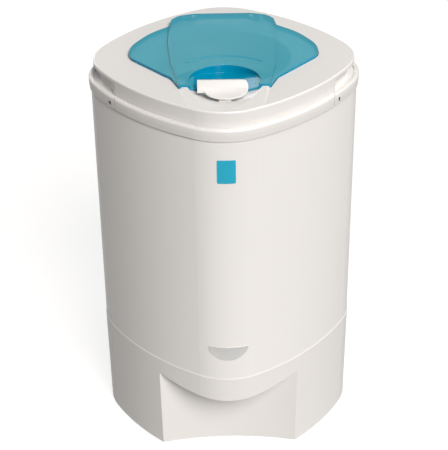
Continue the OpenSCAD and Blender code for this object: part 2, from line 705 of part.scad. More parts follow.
module drain_spout() color("lightgray") difference() {
    union() {
        spout_pipe(drain_r, spout_shoulder_y);
        translate([0, spout_shoulder_y + 1, spout_z]) rotate([90, 0, 0])
            cylinder(h = spout_shoulder_y + 1 - spout_end_y, r = spout_tip_r);
        translate([0, -scoop_y + wall + 2, spout_z]) rotate([90, 0, 0]) cylinder(h = 2, r = drain_r + 5);
    }
    spout_pipe(drain_bore/2, spout_end_y - 1, 1);
}

// A bent pipe of radius r from the hose to y = y_end
module spout_pipe(r, y_end, extra = 0) {
    translate([0, drain_y, spout_z + spout_bend_r]) cylinder(h = 26 + extra, r = r);
    translate([0, drain_y - spout_bend_r, spout_z + spout_bend_r]) rotate([0, 0, -90]) rotate([90, 0, 0])
        mirror([1, 0, 0]) rotate_extrude(angle = 90, start = 270) translate([spout_bend_r, 0]) circle(r);
    translate([0, drain_y - spout_bend_r, spout_z]) rotate([90, 0, 0])
        cylinder(h = drain_y - spout_bend_r - y_end, r = r);
}

// ---------------------------------------------------------------- drum

module spin_drum() color("silver") difference() {
    rotate_extrude($fn = big_fn) polygon([[shaft_r, drum_z], [drum_r - 8, drum_z], [drum_r, drum_z + 8],
        [drum_r, drum_top], [drum_r - drum_t, drum_top], [drum_r - drum_t, drum_z + 8.5],
        [drum_r - 8.5, drum_z + drum_t], [shaft_r, drum_z + drum_t]]);
    for (row = [0:hole_rows - 1]) for (i = [0:hole_count - 1])
        rotate(360/hole_count*(i + 0.5*(row % 2)))
            translate([drum_r - 6, 0, drum_z + 30 + row*(drum_h - 60)/(hole_rows - 1)])
                rotate([0, 90, 0]) cylinder(h = 10, r = hole_r, $fn = 24);
}

module drum_rim() color("silver") rotate_extrude($fn = big_fn) polygon([[drum_r, drum_top - 12],
    [drum_r + 2, drum_top - 12], [drum_r + 2, drum_top + 2], [drum_r - 3, drum_top + 6],
    [throat_r - 2, drum_top], [throat_r - 2, drum_top - 2.5], [drum_r - 3, drum_top + 3.5],
    [drum_r, drum_top]]);

module drum_hub() color("gainsboro") rotate_extrude($fn = big_fn) polygon([[shaft_r, tub_floor_z - 10],
    [boss_r, tub_floor_z - 10], [boss_r, drum_z - 9], [40, drum_z - 7], [60, drum_z - 6], [60, drum_z],
    [shaft_r, drum_z]]);

module centre_cone() color("silver") rotate_extrude($fn = big_fn) polygon([[58, drum_z + drum_t],
    [26, drum_z + 44], [0, drum_z + 52], [0, drum_z + 50], [24.5, drum_z + 42.3], [55.6, drum_z + drum_t]]);

module drum_shaft() color("gray") translate([0, 0, shaft_bottom])
    cylinder(h = shaft_top - shaft_bottom, r = shaft_r);

module shaft_nut() color("silver") translate([0, 0, drum_z + drum_t]) difference() {
    cylinder(h = nut_h, r = shaft_r + 5, $fn = 6);
    translate([0, 0, -1]) cylinder(h = nut_h + 2, r = shaft_r);
}

// ---------------------------------------------------------------- brake

module brake_drum() color("gray") translate([0, 0, brake_z]) {
    tube(brake_r, shaft_r, brake_h);
    translate([0, 0, brake_h]) tube(14, shaft_r, 8);
}

pad_r = brake_r + brake_gap;
pad_a = -25;                 // bearing of the pad round the brake drum
module brake_pad() color("brown") translate([0, 0, lever_z]) rotate_extrude(angle = 20, start = pad_a - 10)
    translate([pad_r, 0]) square([5, lever_t]);

module brake_lever() color("darkgray") translate([0, 0, lever_z]) difference() {
    linear_extrude(lever_t) difference() {
        union() {
            translate(lever_pivot) circle(8);
            translate(lever_end) circle(6);
            polygon([lever_end + [0, -6], lever_pivot + [0, -8], lever_pivot + [0, 7], lever_end + [0, 5]]);
            polygon([lever_pivot + [-7, 4], lever_pivot + [8, 0], [pad_r + 16, -22],
                (pad_r + 5)*[cos(pad_a + 9), sin(pad_a + 9)], (pad_r + 5)*[cos(pad_a - 9), sin(pad_a - 9)]]);
        }
        circle(pad_r + 5, $fn = big_fn);
        translate(lever_pivot) circle(3.05);
        translate(lever_end) circle(1.5);
    }
}

module brake_pin() color("silver") translate([lever_pivot[0], lever_pivot[1], plate_z + plate_t]) {
    cylinder(h = lever_z + lever_t + 2 - plate_z - plate_t, r = 3);
    translate([0, 0, lever_z + lever_t + gap - plate_z - plate_t]) cylinder(h = 1.7, r = 5);
}

module brake_spring() color("silver") translate([lever_pivot[0], lever_pivot[1], plate_z + plate_t])
    tube(5, 3.2, lever_z - gap - plate_z - plate_t);

cable_route = [[0, pivot_y + 4, arm_z - 2], [0, pivot_y + 4, arm_z - 30], [2, -158, 540], [14, -161, 500],
    [24, -162, 460], [24, -162, 360], [24, -162, 250], [24, -160, 214], [24, -150, 200],
    [24, -136, tub_z + 21], [23, -110, lever_z + 9], [21, -90, lever_z + 3], [20, -80, lever_z + 3],
    [20, -68, lever_z + 3]];
module brake_cable() color("black") bent_tube(cable_route, 2.4);

// ---------------------------------------------------------------- motor and mounts

module motor_plate() color("gray") {
    difference() {
        translate([0, 0, plate_z]) linear_extrude(plate_t) difference() {
            union() {
                circle(84);
                for (a = mount_angles) rotate(a) {
                    translate([0, -17]) square([mount_pitch_r, 34]);
                    translate([mount_pitch_r, 0]) circle(17);
                }
            }
            circle(shaft_r + 4);
            for (a = mount_angles) rotate(a) translate([mount_pitch_r, 0]) circle(4.1);
            for (a = [45:90:315]) rotate(a) translate([bolt_pitch_r, 0]) circle(2.6);
        }
    }
    difference() {
        translate([14, -79, plate_z + plate_t]) cube([12, 4, lever_z + 9 - plate_z - plate_t]);
        translate([20, -70, lever_z + 3]) rotate([90, 0, 0]) cylinder(h = 14, r = 2.5);
    }
}

module motor_case() color("silver") translate([0, 0, case_bottom]) tube(motor_r, motor_r - 3, motor_h);

// Cup-shaped end of the motor; z0 is its outer face and up is 1 or -1 towards the case
module end_bell(z0, up) translate([0, 0, z0]) mirror([0, 0, up < 0 ? 1 : 0]) difference() {
    union() {
        cylinder(h = bell_h, r = motor_r);
        for (a = [45:90:315]) rotate(a) translate([bolt_pitch_r, 0, 0]) cylinder(h = bell_h, r = 6);
    }
    translate([0, 0, -1]) cylinder(h = bell_h + 2, r = shaft_r + 2);
    translate([0, 0, bell_h - bearing_h]) cylinder(h = bearing_h + 1, r = bearing_r);
    for (a = [45:90:315]) rotate(a) translate([bolt_pitch_r, 0, -1]) cylinder(h = bell_h + 2, r = 2.6);
}

module upper_end_bell() color("gainsboro") end_bell(plate_z, -1);
module lower_end_bell() color("gainsboro") end_bell(bell_bottom, 1);

module bearing(z) color("silver") translate([0, 0, z]) tube(bearing_r, shaft_r + eps, bearing_h);
module upper_bearing() bearing(case_top);
module lower_bearing() bearing(case_bottom - bearing_h);

// Laminated ring with bulged windings above and below
module stator() {
    color("gray") translate([0, 0, case_bottom + 14]) tube(motor_r - 3, rotor_r + 0.6, motor_h - 28);
    color("chocolate") for (z = [case_bottom + 4, case_top - 14]) translate([0, 0, z])
        rotate_extrude() polygon([[rotor_r + 3, 0], [motor_r - 7, 0], [motor_r - 5, 5], [motor_r - 7, 10],
            [rotor_r + 3, 10]]);
}

module rotor() color("darkgray") translate([0, 0, case_bottom + 12]) {
    tube(rotor_r, shaft_r, motor_h - 24);
}

module motor_bolts() color("silver") for (a = [45:90:315]) rotate(a) translate([bolt_pitch_r, 0, 0]) {
    translate([0, 0, bell_bottom - 4]) cylinder(h = plate_z + plate_t + 6 - bell_bottom, r = 2.5);
    translate([0, 0, bell_bottom - 3.5]) cylinder(h = 3.5, r = 4.6, $fn = 6);
    translate([0, 0, plate_z + plate_t]) cylinder(h = 4, r = 4.6, $fn = 6);
}

module rubber_mounts() color("dimgray") for (a = mount_angles) rotate(a)
    translate([mount_pitch_r, 0, pillar_top]) rotate_extrude() polygon([[4.1, 0], [15, 0], [15, 5],
        [12, mount_h/2], [15, mount_h - 5], [15, mount_h], [4.1, mount_h]]);

module mount_bolts() color("silver") for (a = mount_angles) rotate(a) translate([mount_pitch_r, 0, 0]) {
    translate([0, 0, pillar_top - 20]) cylinder(h = mount_h + plate_t + 28, r = 4);
    translate([0, 0, plate_z + plate_t]) cylinder(h = 6, r = 7.5, $fn = 6);
}

// ---------------------------------------------------------------- electrics

capacitor_place = [-92, 92];
module capacitor() color("silver") translate([capacitor_place[0], capacitor_place[1], web_z + web_t]) {
    cylinder(h = 76, r = 20);
    translate([0, 0, 76]) cylinder(h = 5, r1 = 18, r2 = 16);
    for (x = [-7, 7]) translate([x - 0.4, -3, 80]) cube([0.8, 6, 10]);
}

module capacitor_clamp() color("dimgray") translate([capacitor_place[0], capacitor_place[1], web_z + web_t]) {
    translate([0, 0, 30]) tube(22.5, 20, 14);
    translate([20.2, -6, 0]) cube([2.3, 12, 31]);
    translate([20.2, -6, 0]) cube([16, 12, 2.3]);
}

gland_in = (case_w/2 - 12.3)/sqrt(2);        // inner end of the gland, on both axes
mains_route = [[gland_in, gland_in, gland_z], [gland_in - 8, gland_in - 8, gland_z], [98, 104, 66],
    [80, 96, 84], [62, 86, 96], [48, 76, 102], [38, 65, 104], [30.6, 53, 104]];
switch_route = [[-8, switch_y - 10, arm_z - 0.5], [-10, switch_y - 9, arm_z - 12],
    [-15, switch_y - 8, 550], [-24, -163, 500], [-24, -162, 400], [-24, -162, 260], [-24, -160, 214],
    [-24, -150, 200], [-24, -136, tub_z + 21], [-26, -112, 184], [-28, -98, 168], [-28, -88, 146],
    [-28, -72, 132], [-26, -54, 128]];
module wiring() color("black") {
    bent_tube(mains_route, 3);
    bent_tube(switch_route, 2);
}

// ---------------------------------------------------------------- nodes

base_skirt();
rubber_feet();
body_shell();
body_screws();
top_cover();
grip_insert_left();
grip_insert_right();
lid();
lid_hinge_pins();
latch_handle();
latch_pin();
latch_spring();
microswitch();
switch_plunger();
switch_screws();
tub_with_nipple();  // tub
tub_gasket();
tub_screws();
bellows_seal();
seal_clamp();
drain_hose();
drain_spout();
hose_clips();
spin_drum();
drum_rim();
drum_hub();
centre_cone();
drum_shaft();
shaft_nut();
brake_drum();
brake_lever();
brake_pad();
brake_pin();
brake_spring();
brake_cable();
motor_plate();
motor_case();
upper_end_bell();
lower_end_bell();
stator();
rotor();
upper_bearing();
lower_bearing();
motor_bolts();
rubber_mounts();
mount_bolts();
capacitor();
capacitor_clamp();
wiring();
cord_gland();
badge_plate();
round_label();
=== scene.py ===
# %% [markdown]
# # A laundry spin dryer
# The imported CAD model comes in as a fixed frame: every solid already has its true size and place.
# This lesson adds what CAD leaves out, which is finish, soft edges and light. Some pieces are kept
# as they are and get a material, and some are modelled again over their solids.

# %% Load the frame
import json
import math

import bmesh
import bpy
from mathutils import Matrix, Vector

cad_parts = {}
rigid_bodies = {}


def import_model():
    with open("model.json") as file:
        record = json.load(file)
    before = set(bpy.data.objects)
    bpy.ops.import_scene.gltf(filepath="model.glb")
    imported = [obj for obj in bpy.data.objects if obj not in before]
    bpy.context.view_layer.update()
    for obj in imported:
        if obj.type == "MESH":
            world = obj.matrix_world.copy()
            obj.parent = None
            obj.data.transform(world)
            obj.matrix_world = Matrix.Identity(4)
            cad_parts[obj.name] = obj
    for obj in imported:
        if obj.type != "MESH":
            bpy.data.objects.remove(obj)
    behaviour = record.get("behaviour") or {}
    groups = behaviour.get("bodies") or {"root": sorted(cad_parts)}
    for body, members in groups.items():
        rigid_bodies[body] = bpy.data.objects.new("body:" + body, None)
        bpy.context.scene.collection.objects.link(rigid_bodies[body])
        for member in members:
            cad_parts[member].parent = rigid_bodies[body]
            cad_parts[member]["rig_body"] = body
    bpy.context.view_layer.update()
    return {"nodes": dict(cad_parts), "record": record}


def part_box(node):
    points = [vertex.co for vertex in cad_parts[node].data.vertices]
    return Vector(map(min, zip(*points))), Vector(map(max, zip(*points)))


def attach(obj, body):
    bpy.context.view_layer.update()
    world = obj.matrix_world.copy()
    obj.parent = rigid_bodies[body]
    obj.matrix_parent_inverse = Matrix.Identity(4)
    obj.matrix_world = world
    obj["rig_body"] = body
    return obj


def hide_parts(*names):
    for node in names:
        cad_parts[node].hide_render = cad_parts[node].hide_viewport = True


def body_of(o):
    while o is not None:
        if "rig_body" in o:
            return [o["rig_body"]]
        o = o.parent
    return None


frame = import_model()
nodes = frame["nodes"]
bpy.ops.object.select_all(action="DESELECT")

# %% [markdown]
# ## The camera
# The photograph was taken from above the front corner with a long lens. Its focal length, tilt
# and distance were fitted to the seams of the case, so the camera is built from those numbers:
# a turn round the dryer, a look down, and a slight roll of the hand-held camera.

# %% Set up the camera
turn, tilt, roll = math.radians(-0.438), math.radians(30.87), math.radians(-0.764)
aim_aside, aim_height, distance = -0.00284, 0.3392, 2.1659
aim = Vector((aim_aside * math.cos(turn), aim_aside * math.sin(turn), aim_height))
backward = Vector((math.sin(turn) * math.cos(tilt), -math.cos(turn) * math.cos(tilt),
                   math.sin(tilt)))
level = Vector((math.cos(turn), math.sin(turn), 0))
upward = backward.cross(level)
sideways = level * math.cos(roll) + upward * math.sin(roll)
upright = upward * math.cos(roll) - level * math.sin(roll)
eye = aim + backward * distance

camera_data = bpy.data.cameras.new("camera")
camera_data.lens = 104.41
camera_data.sensor_width = 36
camera_data.clip_end = 50
camera = bpy.data.objects.new("camera", camera_data)
camera.matrix_world = Matrix((
    (sideways.x, upright.x, backward.x, eye.x),
    (sideways.y, upright.y, backward.y, eye.y),
    (sideways.z, upright.z, backward.z, eye.z),
    (0, 0, 0, 1)))
bpy.context.scene.collection.objects.link(camera)
bpy.context.scene.camera = camera
print("camera at", [round(v, 3) for v in camera.matrix_world.translation])

# %% [markdown]
# ## Writing materials as sums
# A shader tree is easier to read as arithmetic. A `Wire` is one output socket, and adding or
# multiplying wires adds Math nodes.

# %% Define wires
class Wire:
    def __init__(self, finish, socket):
        self.finish = finish
        self.socket = socket

    def work_out(self, operation, first, second):
        return self.finish.node("ShaderNodeMath", {"operation": operation}, {0: first, 1: second})

    def __add__(self, other): return self.work_out("ADD", self, other)
    def __radd__(self, other): return self.work_out("ADD", other, self)
    def __mul__(self, other): return self.work_out("MULTIPLY", self, other)
    def __rmul__(self, other): return self.work_out("MULTIPLY", other, self)
    def __pow__(self, other): return self.work_out("POWER", self, other)
    def __gt__(self, other): return self.work_out("GREATER_THAN", self, other)


# %% [markdown]
# A `Finish` is one material. A single method makes any node from its type, its settings and what
# goes into its sockets, and the others are the few combinations that come back in every finish:
# a noise in the object's own place, a blend of two colours, and a relief.

# %% Define finishes
class Finish:
    def __init__(self, name):
        self.material = bpy.data.materials.new(name)
        self.material.use_nodes = True
        self.tree = self.material.node_tree
        self.tree.nodes.clear()

    def node(self, kind, settings=None, sockets=None, out=0):
        made = self.tree.nodes.new(kind)
        for name, value in (settings or {}).items():
            setattr(made, name, value)
        for name, value in (sockets or {}).items():
            if isinstance(value, Wire):
                self.tree.links.new(value.socket, made.inputs[name])
            else:
                made.inputs[name].default_value = value
        return Wire(self, made.outputs[out]) if len(made.outputs) else None

    def place(self, stretch=(1, 1, 1)):
        here = self.node("ShaderNodeTexCoord", out="Object")
        return self.node("ShaderNodeMapping", {}, {"Vector": here, "Scale": stretch})

    def upright_part(self, vector):
        return self.node("ShaderNodeSeparateXYZ", {}, {"Vector": vector}, out="Z")

    def noise(self, size, detail=2, rough=0.5, stretch=(1, 1, 1)):
        sockets = {"Vector": self.place(stretch), "Scale": 1 / size,
                   "Detail": detail, "Roughness": rough}
        return self.node("ShaderNodeTexNoise", {}, sockets)

    def mix(self, share, low, high):
        sockets = {"Factor": share, "A": low, "B": high}
        return self.node("ShaderNodeMix", {"data_type": "RGBA"}, sockets, out="Result")

    def blend(self, share, low, high):
        return self.mix(share, (*low, 1), (*high, 1))

    def relief(self, height, depth, soft_edge=0.0):
        sockets = {"Height": height, "Distance": depth, "Strength": 1.0}
        if soft_edge:
            sockets["Normal"] = self.node("ShaderNodeBevel", {"samples": 4}, {"Radius": soft_edge})
        return self.node("ShaderNodeBump", {}, sockets)

    def shade(self, **sockets):
        named = {name.replace("_", " "): value for name, value in sockets.items()}
        surface = self.node("ShaderNodeBsdfPrincipled", {}, named)
        self.node("ShaderNodeOutputMaterial", {}, {"Surface": surface})
        return self.material


# %% [markdown]
# ## The floor
# The photograph is a cut-out on white. The floor is a pale sheet that takes the dryer's shadow.
# Light Path adds a glow to it, so that it shows as white to the camera and as light grey in
# mirrored and transmitted rays, and lights nothing else.

# %% Lay the floor
bpy.ops.mesh.primitive_plane_add(size=12, location=(0, 0, 0))
floor = bpy.context.active_object
floor.name = "floor"
paper = Finish("floor_paper")
seen = paper.node("ShaderNodeLightPath", out="Is Camera Ray")
shiny = paper.node("ShaderNodeLightPath", out="Is Glossy Ray")
through = paper.node("ShaderNodeLightPath", out="Is Transmission Ray")
seen_glow, mirrored_glow = 0.80, 0.35
sheet = paper.node("ShaderNodeBsdfDiffuse", {}, {"Color": (0.30, 0.295, 0.285, 1)})
glow = paper.node("ShaderNodeEmission", {}, {
    "Color": (1, 1, 1, 1), "Strength": seen * seen_glow + (shiny + through) * mirrored_glow})
lit = paper.node("ShaderNodeAddShader", {}, {0: sheet, 1: glow})
paper.node("ShaderNodeOutputMaterial", {}, {"Surface": lit})
floor.data.materials.append(paper.material)

# %% [markdown]
# ## The lamps
# The light in the photograph is soft and comes from the front and a little from the right. One
# broad sun does that. A weak, cooler one from behind, low over the ground, opens the shadows, and
# a small panel at the right puts a sheen on the deck. A bearing of 0 is the front, 90 the right.

# %% Hang the lamps
def hang(name, data, towards, place=(0, 0, 0)):
    lamp = bpy.data.objects.new(name, data)
    lamp.location = place
    lamp.rotation_euler = towards.to_track_quat("Z", "Y").to_euler()
    bpy.context.scene.collection.objects.link(lamp)


def add_sun(name, strength, bearing, height, spread, colour):
    data = bpy.data.lights.new(name, "SUN")
    data.energy = strength
    data.angle = math.radians(spread)
    data.color = colour
    bearing, height = math.radians(bearing), math.radians(height)
    hang(name, data, Vector((math.sin(bearing) * math.cos(height),
                             -math.cos(bearing) * math.cos(height), math.sin(height))))


def add_panel(name, power, place, aim_at, width, height, colour):
    data = bpy.data.lights.new(name, "AREA")
    data.shape = "RECTANGLE"
    data.size = width
    data.size_y = height
    data.energy = power
    data.color = colour
    hang(name, data, Vector(place) - Vector(aim_at), place)


warm, cool = (1.0, 0.98, 0.955), (0.97, 0.985, 1.0)
add_sun("key", 3.3, 19, 40, 30, warm)
add_sun("back_fill", 0.8, 205, 11, 40, cool)
add_panel("side_panel", 8, (1.0, 0.1, 1.9), (0, 0, 0.6), 0.7, 0.9, warm)

# %% [markdown]
# ## The room
# The world is full white where the camera looks past the floor, and only a dim even light for
# everything else, so that the lamps alone shape the dryer.

# %% Fill the room with light
room_light, backdrop = 0.07, 1.0
world = bpy.data.worlds.new("studio")
bpy.context.scene.world = world
world.use_nodes = True
air = world.node_tree
air.nodes.clear()
path = air.nodes.new("ShaderNodeLightPath")
either = air.nodes.new("ShaderNodeMixShader")
air.links.new(path.outputs["Is Camera Ray"], either.inputs[0])
for socket, strength in ((1, room_light), (2, backdrop)):
    air_light = air.nodes.new("ShaderNodeBackground")
    air_light.inputs["Color"].default_value = (1, 1, 1, 1)
    air_light.inputs["Strength"].default_value = strength
    air.links.new(air_light.outputs[0], either.inputs[socket])
skin = air.nodes.new("ShaderNodeOutputWorld")
air.links.new(either.outputs[0], skin.inputs["Surface"])
bpy.context.scene.view_settings.view_transform = "Standard"
print("room light", room_light)

# %% [markdown]
# ## White moulding and white enamel
# The base and the top cover are glossy injection mouldings, and the body is sheet steel with a
# baked enamel. Both are a warm white. The enamel is glossier and has a wider ripple, which painters
# call orange peel, and the mouldings have a finer skin. A broad, faint cloud keeps either from
# looking like one flat colour, and a smear varies the gloss as handling does.

# %% Make the two whites
cloud_size, smear_size, smear_depth = 0.35, 0.06, 0.06


def make_white(name, low, high, gloss, skin_size, skin_depth):
    finish = Finish(name)
    cloud = finish.noise(cloud_size)
    smear = finish.noise(smear_size)
    skin_height = finish.noise(skin_size)
    return finish.shade(
        Base_Color=finish.blend(cloud, low, high),
        Roughness=smear * smear_depth + gloss,
        Normal=finish.relief(skin_height, skin_depth),
        Coat_Weight=0.25, Coat_Roughness=0.12)


moulding = make_white("white_moulding", (0.835, 0.815, 0.795), (0.855, 0.835, 0.815),
                      0.22, 0.0022, 0.000008)
enamel = make_white("white_enamel", (0.875, 0.855, 0.835), (0.895, 0.875, 0.855),
                    0.14, 0.005, 0.00003)
print("whites:", moulding.name, enamel.name)

# %% [markdown]
# ## Clear blue
# The lid is tinted clear plastic. Where its top faces up it gets a lighter, whitish blue, which is
# a painted sheen, and lets some of the white below show. Where it slopes or stands, as at the rim
# and in the finger pocket, it gets a dark blue, which is painted shade, and is nearly closed. So
# the mask is the upward part of the normal, to a power that makes it fall off fast, times a test
# for the height of the lid's top: both come from the lid itself, and turn with it.

# %% Make the blue
blue = Finish("clear_blue")
sheen_cloud = blue.noise(0.09, 3)
scuffs = blue.noise(0.012, 5, 0.7)
ripple = blue.noise(0.012)
facing = blue.upright_part(blue.node("ShaderNodeTexCoord", out="Normal"))
height = blue.upright_part(blue.place())
lid_top_from, fall_off = 0.6442, 6
# painted light: the share of painted sheen on the upward top; the rest of the lid gets painted
# shade
painted_sheen_share = (facing ** fall_off) * (height > lid_top_from)
milky_painted_sheen = blue.blend(sheen_cloud, (0.09, 0.53, 0.67), (0.13, 0.59, 0.73))
deep_painted_shade = (0.0, 0.27, 0.44, 1)
closed, open_share = 0.96, 0.43
clear_blue = blue.shade(
    Base_Color=blue.mix(painted_sheen_share, deep_painted_shade, milky_painted_sheen),
    Roughness=scuffs * 0.14 + 0.06,
    Normal=blue.relief(ripple, 0.00003, 0.0010),
    Alpha=painted_sheen_share * -open_share + closed,
    IOR=1.49)
print("clear blue:", len(blue.tree.nodes), "nodes")

# %% [markdown]
# ## Metals, rubber and dark plastics
# Brushed and turned metal is a noise stretched along one direction, which drives both the
# roughness and a faint relief. Rubber and dark plastic are matt with a fine grain. In both, the
# Bevel node behind the relief rounds sharp edges in shading, so that they catch the light.

# %% Define metals and matt finishes
metal_edge, matt_edge = 0.0004, 0.0005


def make_metal(name, low, high, rough, stretch, grain=0.0008, relief=0.00002, metallic=1.0):
    finish = Finish(name)
    lines = finish.noise(grain, 3, 0.6, stretch)
    tone = finish.noise(0.04, 3)
    return finish.shade(
        Base_Color=finish.blend(tone, low, high),
        Metallic=metallic,
        Roughness=lines * 0.22 + rough,
        Normal=finish.relief(lines, relief, metal_edge))


def make_matt(name, low, high, rough, grain, relief):
    finish = Finish(name)
    specks = finish.noise(grain, 3, 0.6)
    tone = finish.noise(0.05, 3)
    return finish.shade(
        Base_Color=finish.blend(tone, low, high),
        Roughness=specks * 0.2 + rough,
        Normal=finish.relief(specks, relief, matt_edge))


# %% [markdown]
# Each finish is one row: its darker and lighter colour, its lowest roughness, and the size and
# depth of its grain. A metal also says how the grain is stretched. The badge is only half a metal,
# because its silver looks like a lacquer.

# %% Make the metals and matt finishes
matt_looks = {
    "black_rubber": ((0.018, 0.018, 0.019), (0.032, 0.032, 0.033), 0.55, 0.0012, 0.00006),
    "black_plastic": ((0.022, 0.022, 0.024), (0.035, 0.035, 0.038), 0.38, 0.0009, 0.00003),
    "grey_plastic": ((0.40, 0.41, 0.42), (0.47, 0.48, 0.49), 0.34, 0.0012, 0.00003),
    "red_plastic": ((0.42, 0.03, 0.02), (0.50, 0.04, 0.03), 0.3, 0.001, 0.00002),
    "friction_lining": ((0.13, 0.075, 0.05), (0.24, 0.15, 0.10), 0.7, 0.0015, 0.0002),
    "blue_label": ((0.012, 0.41, 0.60), (0.018, 0.45, 0.65), 0.16, 0.03, 0.000004),
}
metal_looks = {
    "bright_steel": ((0.60, 0.61, 0.62), (0.70, 0.71, 0.72), 0.2, (1, 1, 0.15)),
    "spring_steel": ((0.36, 0.37, 0.39), (0.45, 0.46, 0.48), 0.28, (1, 1, 1)),
    "shaft_steel": ((0.44, 0.45, 0.47), (0.54, 0.55, 0.57), 0.24, (0.1, 0.1, 1)),
    "drum_steel": ((0.66, 0.67, 0.68), (0.76, 0.77, 0.78), 0.22, (0.12, 0.12, 1)),
    "cast_alloy": ((0.55, 0.56, 0.58), (0.64, 0.65, 0.67), 0.42, (1, 1, 1), 0.0014, 0.0001),
    "grey_iron": ((0.16, 0.17, 0.18), (0.24, 0.25, 0.26), 0.45, (1, 1, 1), 0.0016, 0.00012),
    "capacitor_can": ((0.68, 0.69, 0.70), (0.76, 0.77, 0.78), 0.26, (1, 1, 0.1)),
    "silver_badge": ((0.72, 0.73, 0.72), (0.80, 0.80, 0.79), 0.28, (0.06, 0.06, 1),
                     0.0008, 0.00002, 0.5),
}
finishes = {"white_plastic": moulding, "white_metal": enamel, "clear_blue": clear_blue}
for name, look in matt_looks.items():
    finishes[name] = make_matt(name, *look)
for name, look in metal_looks.items():
    finishes[name] = make_metal(name, *look)
print("finishes:", len(finishes))

# %% [markdown]
# ## Dress the solids
# Every solid names a material slot in the record. Each takes the finish of that name.

# %% Assign the finishes
for part in frame["record"]["subparts"]:
    solid = nodes[part["node"]]
    solid.data.materials.clear()
    solid.data.materials.append(finishes[part["material_slot"]])

# %% [markdown]
# ## Hand tools
# Each new piece is modelled the way a hand would do it: a primitive, a few edit-mode steps, a
# modifier or two. An operator acts on whatever is selected, so the first tool clears that, and the
# others pick faces by where they are, because nobody is there to click on them. Lengths are
# written in millimetres and turned into Blender's metres.

# %% Define the tools that select and edit
MM = 0.001


def clear_selection():
    if bpy.context.object and bpy.context.object.mode != "OBJECT":
        bpy.ops.object.mode_set(mode="OBJECT")
    bpy.ops.object.select_all(action="DESELECT")


def work_on(piece):
    clear_selection()
    piece.select_set(True)
    bpy.context.view_layer.objects.active = piece


def open_edit(piece):
    work_on(piece)
    bpy.ops.object.mode_set(mode="EDIT")
    bpy.ops.mesh.select_all(action="SELECT")


def pick_faces(piece, wanted):
    open_edit(piece)
    bpy.ops.mesh.select_mode(type="FACE")
    bpy.ops.mesh.select_all(action="DESELECT")
    shape = bmesh.from_edit_mesh(piece.data)
    for face in shape.faces:
        if wanted(face.calc_center_median() / MM, face.normal):
            face.select = True
    bmesh.update_edit_mesh(piece.data)


def close_edit():
    bpy.ops.mesh.select_all(action="SELECT")
    bpy.ops.mesh.normals_make_consistent(inside=False)
    bpy.ops.object.mode_set(mode="OBJECT")


# %% [markdown]
# A primitive carries its size and turn outside its mesh. Applying them settles it, so that a bevel
# is as wide on every side. A modifier is added, set and applied in one go.

# %% Define the tools that settle and modify
def settle(piece):
    work_on(piece)
    bpy.ops.object.transform_apply(location=True, rotation=True, scale=True)


def modify(piece, kind, **settings):
    work_on(piece)
    step = piece.modifiers.new(kind.lower(), kind)
    for name, value in settings.items():
        setattr(step, name, value)
    bpy.ops.object.modifier_apply(modifier=step.name)


def join_shapes(piece, other, operation):
    modify(piece, "BOOLEAN", operation=operation, solver="EXACT", object=other)
    bpy.data.objects.remove(other)


def round_edges(piece, radius, segments=3, sharper_than=30):
    modify(piece, "BEVEL", width=radius * MM, segments=segments, limit_method="ANGLE",
           angle_limit=math.radians(sharper_than))


# %% [markdown]
# Most pieces begin as an outline. A circle gives a face with as many corners as the outline has,
# its corners are moved into place, and extruding the face makes it a block. A slab is such a block
# pushed sideways or upwards, and two slabs that cross cut a shape from a side and a plan.

# %% Define the tools that start a shape
slab_foot, slab_height = 600, 80


def arc_points(centre, radii, start, stop, count):
    angles = [math.radians(start + (stop - start) * i / (count - 1)) for i in range(count)]
    return [(centre[0] + radii[0] * math.cos(a), centre[1] + radii[1] * math.sin(a))
            for a in angles]


def flat_outline(name, corners):
    clear_selection()
    bpy.ops.mesh.primitive_circle_add(vertices=len(corners), radius=1, fill_type="NGON")
    piece = bpy.context.active_object
    piece.name = name
    for vertex, corner in zip(piece.data.vertices, corners):
        vertex.co = Vector(corner) * MM
    return piece


def extruded_outline(name, corners, push):
    piece = flat_outline(name, corners)
    open_edit(piece)
    bpy.ops.mesh.extrude_region_move(TRANSFORM_OT_translate={"value": Vector(push) * MM})
    close_edit()
    return piece


def side_slab(name, outline, half_width=50):
    corners = [(-half_width, y, z) for y, z in outline]
    return extruded_outline(name, corners, (2 * half_width, 0, 0))


def plan_slab(name, outline):
    return extruded_outline(name, [(x, y, slab_foot) for x, y in outline], (0, 0, slab_height))


def rod_along_x(name, radius, x0, x1, y, z):
    clear_selection()
    bpy.ops.mesh.primitive_cylinder_add(
        vertices=32, radius=radius * MM, depth=(x1 - x0) * MM,
        location=((x0 + x1) / 2 * MM, y * MM, z * MM), rotation=(0, math.pi / 2, 0))
    piece = bpy.context.active_object
    piece.name = name
    settle(piece)
    return piece


# %% [markdown]
# The last tool finishes a piece: smooth shading with crisp edges, its material, the body that it
# rides on, and the solids that it stands for.

# %% Define the tools that finish a piece
def body_of_node(node):
    return body_of(nodes[node])[0]


def finish_piece(piece, slot, body, *stands_for):
    settle(piece)
    bpy.ops.object.shade_smooth_by_angle(angle=math.radians(35))
    piece.data.materials.clear()
    piece.data.materials.append(finishes[slot])
    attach(piece, body)
    if stands_for:
        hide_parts(*stands_for)
    print(piece.name, len(piece.data.polygons), "faces on", body)


# %% [markdown]
# ## The latch handle
# A lift latch is one moulding: a bar that fingers lift, a half-round tongue that covers the scoop
# in the deck, and an arm below the deck that works the safety switch and the brake. The bar and
# tongue are a side profile cut to a plan outline, which is how a mould parts too.

# %% Shape the latch's bar and tongue
latch_side = [(-120.5, 658.6), (-125.5, 659.5), (-131, 656.6), (-138.5, 651.6), (-143, 649.2),
              (-150, 646.6), (-163.5, 643.1), (-163.5, 642.3), (-155.5, 644.0), (-142, 646.8),
              (-127, 652), (-120.5, 653.5)]
tongue_x = 1.5
tongue_arc = arc_points((tongue_x, -136), (32.5, 22.4), 196, 360, 42)
corner_arc = arc_points((20, -135.5), (14, 14), 0, 90, 11)
latch_plan = [(-40, -121.5), (-40, -142)] + tongue_arc + corner_arc[1:]

